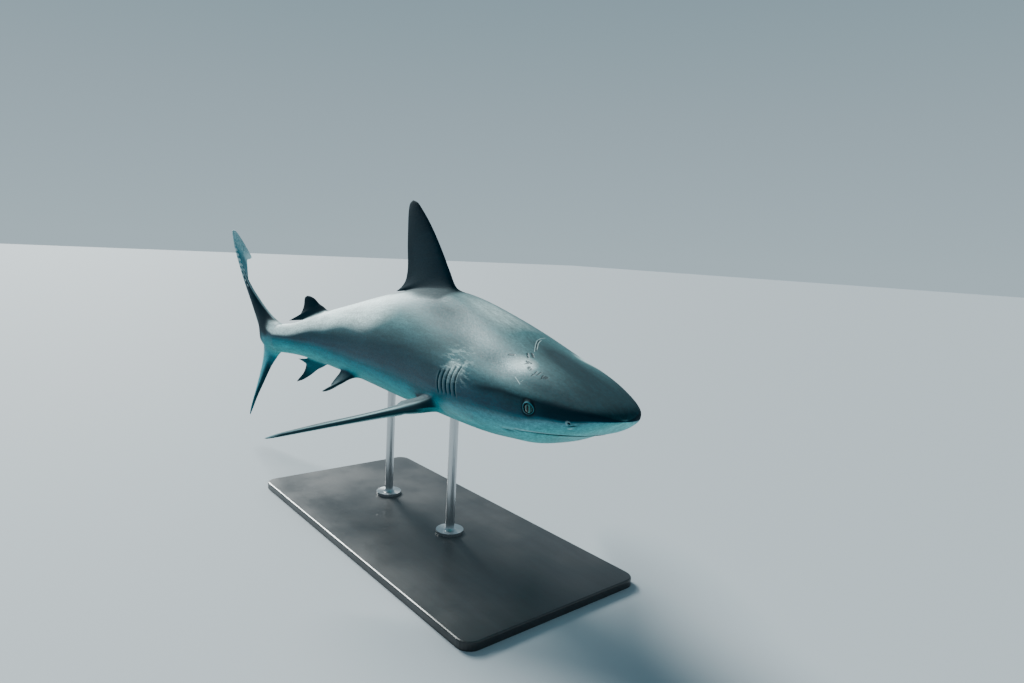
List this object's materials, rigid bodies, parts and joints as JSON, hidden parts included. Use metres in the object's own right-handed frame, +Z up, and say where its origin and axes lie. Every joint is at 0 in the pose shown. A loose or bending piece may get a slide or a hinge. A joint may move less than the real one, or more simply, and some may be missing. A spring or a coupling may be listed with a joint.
{
  "type": "reef shark model on a display stand",
  "caption": "Life-size still model of a Caribbean reef shark that swims in a slight curve, carried by slim rods on a flat oblong base.",
  "frame": {"origin": "middle of the base's flat underside, at floor level", "axes": "+X the way the shark swims, +Y to its left, +Z up"},
  "size_m": [1.9872, 0.8216, 0.8282],
  "materials": {
    "shark_skin": "satin, finely rough grey-bronze back over a pale belly",
    "fin_skin": "satin, dusky towards the edges",
    "eye": "clear gloss over a greenish iris and an upright dark pupil",
    "stand_paint": "matt near-black paint over wood",
    "stand_steel": "brushed"
  },
  "bodies": {
    "root": {"head": "shark_skin", "lower_jaw": "shark_skin", "gill_region": "shark_skin", "trunk_front": "shark_skin", "trunk_rear": "shark_skin", "tail_stalk": "shark_skin", "eye_right": "eye", "eye_left": "eye", "first_dorsal_fin": "fin_skin", "second_dorsal_fin": "fin_skin", "anal_fin": "fin_skin", "pectoral_fin_right": "fin_skin", "pectoral_fin_left": "fin_skin", "pelvic_fin_right": "fin_skin", "pelvic_fin_left": "fin_skin", "tail_upper_lobe": "fin_skin", "tail_lower_lobe": "fin_skin", "stand_base": "stand_paint", "stand_rod_front": "stand_steel", "stand_rod_rear": "stand_steel"}
  },
  "joints": []
}
